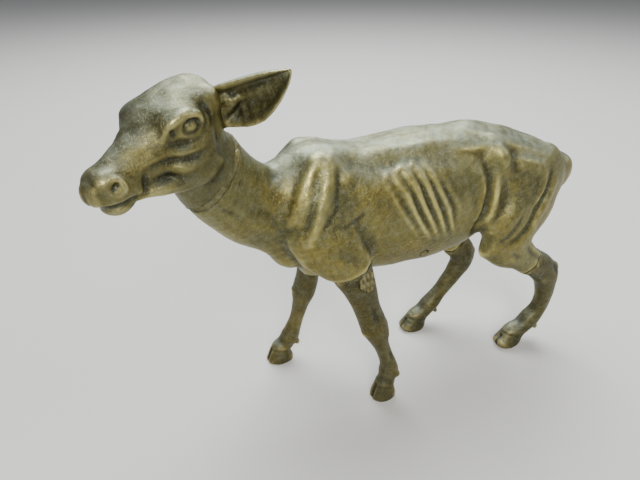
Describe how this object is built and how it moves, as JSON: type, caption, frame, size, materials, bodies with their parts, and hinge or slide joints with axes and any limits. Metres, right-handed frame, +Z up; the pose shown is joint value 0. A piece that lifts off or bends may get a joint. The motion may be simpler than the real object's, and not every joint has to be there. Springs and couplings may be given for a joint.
{
  "type": "bronze animal statuette",
  "caption": "Small bronze statuette of a thin walking hind with its head turned to its left, standing free on its hooves as an ornament.",
  "frame": {"origin": "middle of the figure's bounding box, on the ground plane under the hooves", "axes": "+X towards the rump, along the length of the figure; the animal's left side faces -Y; +Z up"},
  "size_m": [0.2446, 0.0706, 0.1739],
  "materials": {
    "cast_bronze": "olive brown patina rubbed to gold on the raised places",
    "pin_bronze": "drawn rod, filed",
    "brazing_metal": "pitted, patinated over",
    "plug_bronze": "hammered in, filed flush and patinated over"
  },
  "bodies": {
    "root": {"belly_plug": "plug_bronze", "core_plug_breast": "plug_bronze", "core_plug_left_belly": "plug_bronze", "core_plug_right_loin": "plug_bronze", "core_plug_right_ribs": "plug_bronze", "head_shell": "cast_bronze", "left_ear": "cast_bronze", "left_ear_dowel": "pin_bronze", "left_foreleg": "cast_bronze", "left_foreleg_braze": "brazing_metal", "left_foreleg_dowel": "pin_bronze", "left_hindleg": "cast_bronze", "left_hindleg_braze": "brazing_metal", "left_hindleg_dowel": "pin_bronze", "left_throat_pin": "pin_bronze", "right_ear": "cast_bronze", "right_ear_dowel": "pin_bronze", "right_foreleg": "cast_bronze", "right_foreleg_braze": "brazing_metal", "right_foreleg_dowel": "pin_bronze", "right_hindleg": "cast_bronze", "right_hindleg_braze": "brazing_metal", "right_hindleg_dowel": "pin_bronze", "right_throat_pin": "pin_bronze", "tail": "cast_bronze", "tail_dowel": "pin_bronze", "throat_braze": "brazing_metal", "torso_shell": "cast_bronze"}
  },
  "joints": []
}
